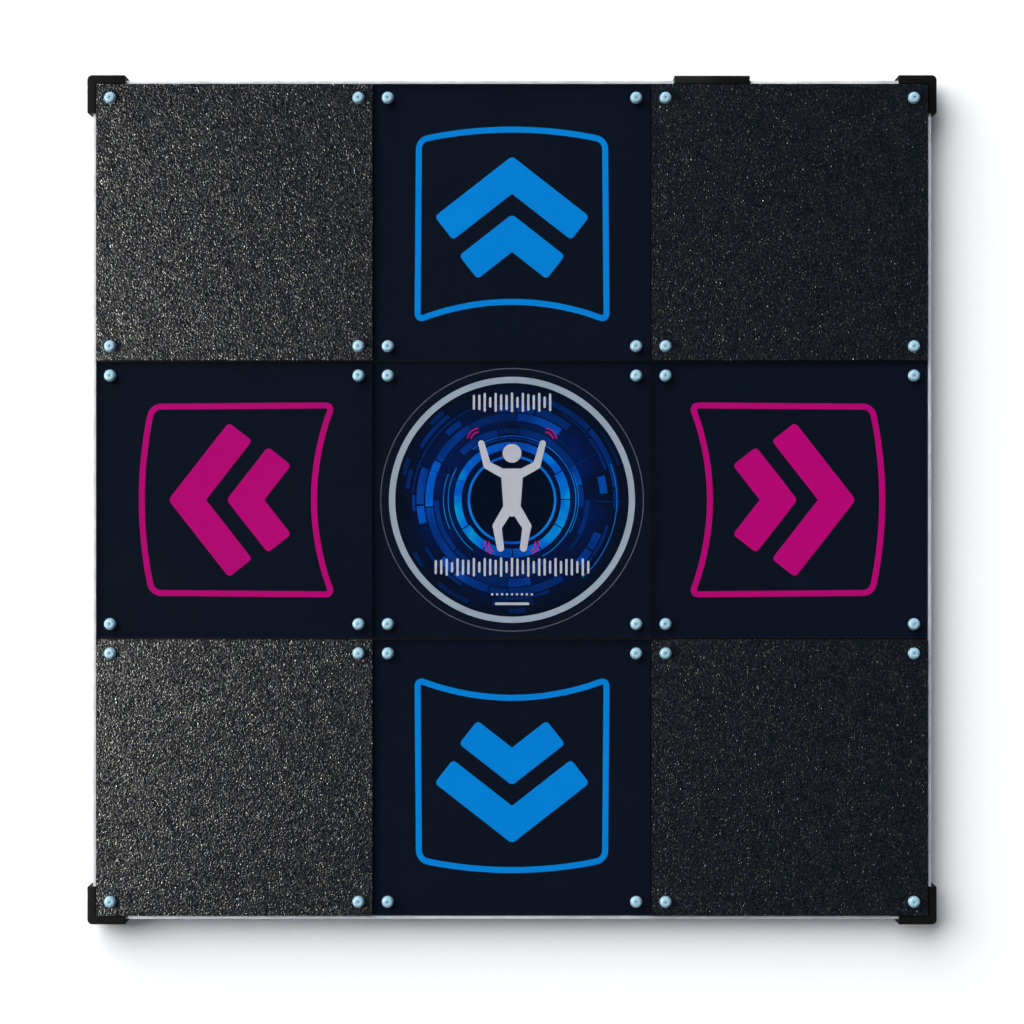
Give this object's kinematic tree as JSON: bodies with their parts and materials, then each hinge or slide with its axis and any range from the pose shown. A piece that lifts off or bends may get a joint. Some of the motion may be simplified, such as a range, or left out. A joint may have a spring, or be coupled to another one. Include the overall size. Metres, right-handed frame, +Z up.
{
  "type": "dance rhythm machine pad",
  "caption": "Hard square dance pad: a framed grid of arrow panels that press down, rough corner panels and a fixed printed centre.",
  "frame": {"origin": "centre of the pad's footprint on the floor, under the rubber feet", "axes": "+Z up; +Y towards the back edge with the data socket, where the up arrow points; +X to the right"},
  "size_m": [0.857, 0.857, 0.0402],
  "materials": {
    "plywood": "sanded birch plywood, sealed",
    "batten_pine": "planed pine, dark stain",
    "profile_aluminium": "natural satin anodised",
    "guard_plastic": "moulded, fine texture",
    "screw_steel": "zinc plated",
    "foot_rubber": "soft black rubber",
    "grip_board_wood": "film-faced plywood with bare edges",
    "grip_surface": "mineral grit in black resin",
    "clear_cover": "clear polycarbonate",
    "centre_print": "printed film, dark blue",
    "blue_print": "printed film, blue on black",
    "magenta_print": "printed film, magenta on black",
    "backing_wood": "black-faced hardboard",
    "plate_aluminium": "mill finish sheet",
    "contact_brass": "bare strip",
    "spring_foam": "open-cell foam",
    "panel_screw_zinc": "blue zinc plated",
    "washer_zinc": "zinc plated",
    "insert_brass": "turned",
    "housing_plastic": "moulded, fine texture",
    "lid_plastic": "moulded",
    "circuit_green": "solder resist",
    "chip_black": "moulded epoxy",
    "socket_shell": "nickel plated shell",
    "lead_red": "soft PVC"
  },
  "bodies": {
    "root": {"base_board": "plywood", "batten_front": "batten_pine", "batten_back": "batten_pine", "batten_row_front": "batten_pine", "batten_row_back": "batten_pine", "battens_cross_outer": "batten_pine", "battens_cross_inner": "batten_pine", "frame_profile_front": "profile_aluminium", "frame_profile_back": "profile_aluminium", "frame_profile_left": "profile_aluminium", "frame_profile_right": "profile_aluminium", "frame_profile_screws": "screw_steel", "corner_guard_front_left": "guard_plastic", "corner_guard_front_right": "guard_plastic", "corner_guard_back_left": "guard_plastic", "corner_guard_back_right": "guard_plastic", "corner_guard_screws": "screw_steel", "rubber_feet": "foot_rubber", "foot_screws": "screw_steel", "grip_board_front_left": "grip_board_wood", "grip_board_front_right": "grip_board_wood", "grip_board_back_left": "grip_board_wood", "grip_board_back_right": "grip_board_wood", "grip_sheet_front_left": "grip_surface", "grip_sheet_front_right": "grip_surface", "grip_sheet_back_left": "grip_surface", "grip_sheet_back_right": "grip_surface", "centre_cover": "clear_cover", "centre_graphic": "centre_print", "centre_backing": "backing_wood", "contact_strips_up": "contact_brass", "contact_strips_down": "contact_brass", "contact_strips_left": "contact_brass", "contact_strips_right": "contact_brass", "foam_strips_up": "spring_foam", "foam_strips_down": "spring_foam", "foam_strips_left": "spring_foam", "foam_strips_right": "spring_foam", "panel_screws": "panel_screw_zinc", "panel_washers": "washer_zinc", "threaded_inserts": "insert_brass", "controller_housing": "housing_plastic", "controller_lid": "lid_plastic", "controller_circuit": "circuit_green", "controller_chips": "chip_black", "data_socket": "socket_shell", "controller_screws": "screw_steel", "contact_leads": "lead_red"},
    "arrow_panel_up": {"arrow_cover_up": "clear_cover", "arrow_graphic_up": "blue_print", "contact_plate_up": "plate_aluminium"},
    "arrow_panel_down": {"arrow_cover_down": "clear_cover", "arrow_graphic_down": "blue_print", "contact_plate_down": "plate_aluminium"},
    "arrow_panel_left": {"arrow_cover_left": "clear_cover", "arrow_graphic_left": "magenta_print", "contact_plate_left": "plate_aluminium"},
    "arrow_panel_right": {"arrow_cover_right": "clear_cover", "arrow_graphic_right": "magenta_print", "contact_plate_right": "plate_aluminium"}
  },
  "joints": [
    {"name": "arrow_up_press", "type": "slide", "parent": "root", "child": "arrow_panel_up", "axis": [0, 0, -1], "range_m": [0, 0.0015], "stiffness_N_per_m": 33000, "springref_m": -0.0003, "deforming": ["foam_strips_up"]},
    {"name": "arrow_down_press", "type": "slide", "parent": "root", "child": "arrow_panel_down", "axis": [0, 0, -1], "range_m": [0, 0.0015], "stiffness_N_per_m": 33000, "springref_m": -0.0003, "deforming": ["foam_strips_down"]},
    {"name": "arrow_left_press", "type": "slide", "parent": "root", "child": "arrow_panel_left", "axis": [0, 0, -1], "range_m": [0, 0.0015], "stiffness_N_per_m": 33000, "springref_m": -0.0003, "deforming": ["foam_strips_left"]},
    {"name": "arrow_right_press", "type": "slide", "parent": "root", "child": "arrow_panel_right", "axis": [0, 0, -1], "range_m": [0, 0.0015], "stiffness_N_per_m": 33000, "springref_m": -0.0003, "deforming": ["foam_strips_right"]}
  ]
}
